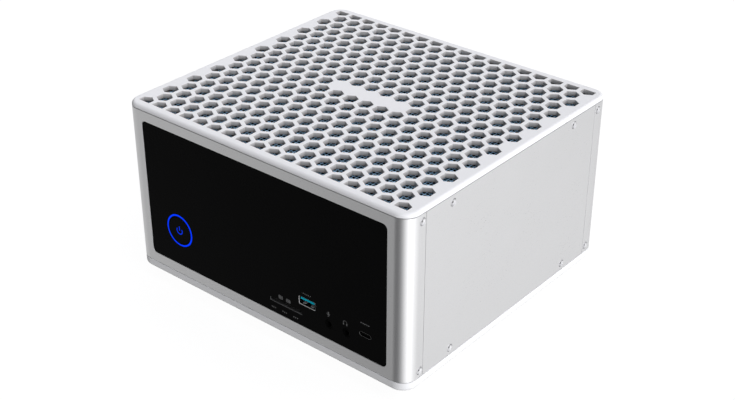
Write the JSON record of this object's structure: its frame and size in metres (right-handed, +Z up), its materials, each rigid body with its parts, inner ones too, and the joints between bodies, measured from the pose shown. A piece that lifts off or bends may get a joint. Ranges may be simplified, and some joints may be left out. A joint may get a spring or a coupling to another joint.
{
  "type": "mini pc",
  "caption": "Low rectangular desktop computer with a honeycomb top grille, aluminium sides, black front panel with ports and a lit round power button.",
  "frame": {"origin": "on the floor under the middle of the case", "axes": "+X to the right seen from the front, +Y towards the rear sockets, +Z up; the front panel faces -Y"},
  "size_m": [0.225, 0.203, 0.128],
  "materials": {
    "white_plastic": "fine satin, softly rounded edge",
    "anodised_aluminium": "bead-blasted and clear anodised",
    "black_acrylic": "polished, deep black",
    "blue_light": "lit light guide",
    "mesh_steel": "fine woven screen, blue tinted",
    "screw_steel": "plated button heads",
    "rubber": "matte",
    "port_teal": "moulded tongue in a plated shell",
    "port_steel": "nickel plated",
    "black_plastic": "moulded",
    "sheet_steel": "powder coated sheet",
    "circuit_board": "black solder mask over glass laminate",
    "drive_metal": "satin",
    "copper": "machined copper",
    "radiator_black": "black lacquer on aluminium",
    "hose_rubber": "smooth black hose"
  },
  "bodies": {
    "case": {"top_cover": "white_plastic", "bottom_cover": "white_plastic", "front_bezel": "anodised_aluminium", "rear_frame": "anodised_aluminium", "side_panel_left": "anodised_aluminium", "side_panel_right": "anodised_aluminium", "front_panel": "black_acrylic", "power_ring_light": "blue_light", "dust_mesh": "mesh_steel", "side_screw_left_front_1": "screw_steel", "side_screw_left_front_2": "screw_steel", "side_screw_left_front_3": "screw_steel", "side_screw_left_front_4": "screw_steel", "side_screw_left_rear_1": "screw_steel", "side_screw_left_rear_2": "screw_steel", "side_screw_left_rear_3": "screw_steel", "side_screw_left_rear_4": "screw_steel", "side_screw_right_front_1": "screw_steel", "side_screw_right_front_2": "screw_steel", "side_screw_right_front_3": "screw_steel", "side_screw_right_front_4": "screw_steel", "side_screw_right_rear_1": "screw_steel", "side_screw_right_rear_2": "screw_steel", "side_screw_right_rear_3": "screw_steel", "side_screw_right_rear_4": "screw_steel", "foot_pad_front_left": "rubber", "foot_pad_front_right": "rubber", "foot_pad_rear_left": "rubber", "foot_pad_rear_right": "rubber", "usb_a_port": "port_teal", "usb_c_port": "port_steel", "lan_sockets": "port_steel", "usb_sockets": "port_steel", "video_sockets": "port_steel", "antenna_jack_left": "port_steel", "antenna_jack_right": "port_steel", "mic_jack": "black_plastic", "headphone_jack": "black_plastic", "card_reader": "black_plastic", "dc_jacks": "black_plastic", "fan_frame": "black_plastic", "rear_plate": "sheet_steel", "chassis": "sheet_steel", "front_board": "circuit_board", "motherboard": "circuit_board", "memory_module_lower": "circuit_board", "memory_module_upper": "circuit_board", "ssd_card": "circuit_board", "wifi_card": "circuit_board", "graphics_board": "circuit_board", "storage_drive": "drive_metal", "graphics_cold_plate": "copper", "pump_block": "copper", "radiator": "radiator_black", "hose_radiator_to_pump": "hose_rubber", "hose_pump_to_plate": "hose_rubber", "hose_plate_to_radiator": "hose_rubber"},
    "power_button": {"power_button": "black_acrylic"},
    "fan_rotor": {"fan_rotor": "black_plastic"},
    "pump_impeller": {"pump_impeller": "black_plastic"}
  },
  "joints": [
    {"name": "power_button_press", "type": "slide", "parent": "case", "child": "power_button", "axis": [0, 1, 0], "range_m": [0, 0.0008], "stiffness_N_per_m": 500},
    {"name": "fan_spin", "type": "hinge", "parent": "case", "child": "fan_rotor", "pos_m": [0.013, 0, 0.084], "axis": [0, 0, 1], "continuous": true},
    {"name": "pump_spin", "type": "hinge", "parent": "case", "child": "pump_impeller", "pos_m": [-0.062, 0.008, 0.046], "axis": [0, 0, 1], "continuous": true}
  ]
}
